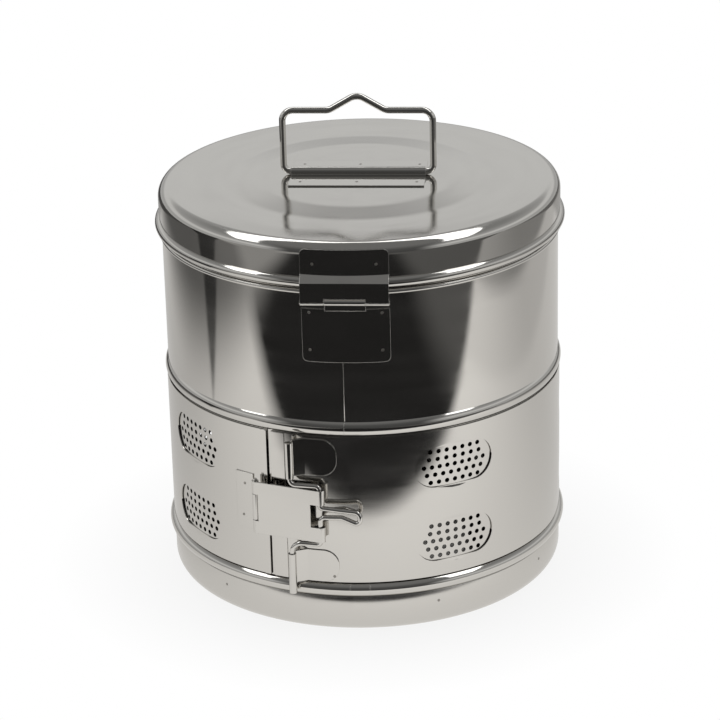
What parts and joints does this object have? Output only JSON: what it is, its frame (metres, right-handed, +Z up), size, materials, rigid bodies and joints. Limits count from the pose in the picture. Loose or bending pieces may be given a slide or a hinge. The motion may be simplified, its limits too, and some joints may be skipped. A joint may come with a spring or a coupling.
{
  "type": "sterilizing drum",
  "caption": "Round stainless steel sterilizing drum: perforated shell, turning shutter band with a toggle clamp, hinged lid and folding wire handle.",
  "frame": {"origin": "on the drum's axis, in the plane of the flat base that it stands on", "axes": "+Z up along the drum's axis, -Y towards the lid hinge, +X to the right when the hinge faces the viewer"},
  "size_m": [0.248, 0.2545, 0.2988],
  "materials": {
    "polished_steel": "mirror-polished stainless steel sheet",
    "satin_steel": "satin-polished stainless steel sheet",
    "bright_wire": "bright-drawn stainless steel wire"
  },
  "bodies": {
    "drum": {"drum_shell": "polished_steel", "base_pan": "satin_steel", "hinge_body_leaf": "satin_steel", "hinge_pin": "bright_wire"},
    "lid": {"lid": "polished_steel", "hinge_lid_leaf": "satin_steel", "handle_bracket": "satin_steel"},
    "handle": {"lid_handle": "bright_wire"},
    "band": {"sliding_band": "satin_steel", "clamp_leaf": "satin_steel", "clamp_pin": "bright_wire", "upper_lever_leaf": "satin_steel", "lower_lever_leaf": "satin_steel"},
    "plate": {"clamp_plate": "satin_steel"},
    "lever": {"toggle_lever": "bright_wire"}
  },
  "joints": [
    {"name": "lid_swing", "type": "hinge", "parent": "drum", "child": "lid", "pos_m": [0, -0.1228, 0.2125], "axis": [1, 0, 0], "range_deg": [0, 160]},
    {"name": "handle_fold", "type": "hinge", "parent": "lid", "child": "handle", "pos_m": [0, 0, 0.24998], "axis": [1, 0, 0], "range_deg": [-88, 88]},
    {"name": "band_turn", "type": "hinge", "parent": "drum", "child": "band", "pos_m": [0, 0, 0.0791], "axis": [0, 0, 1], "continuous": true},
    {"name": "lever_swing", "type": "hinge", "parent": "band", "child": "lever", "pos_m": [-0.03516, -0.12183, 0.0791], "axis": [0, 0, -1], "range_deg": [0, 45]},
    {"name": "plate_swing", "type": "hinge", "parent": "band", "child": "plate", "pos_m": [-0.05672, -0.11209, 0.0791], "axis": [0, 0, -1], "range_deg": [0, 19.3]}
  ],
  "couplings": [
    {"joint": "plate_swing", "follows": "lever_swing", "ratio": 0.4285}
  ]
}
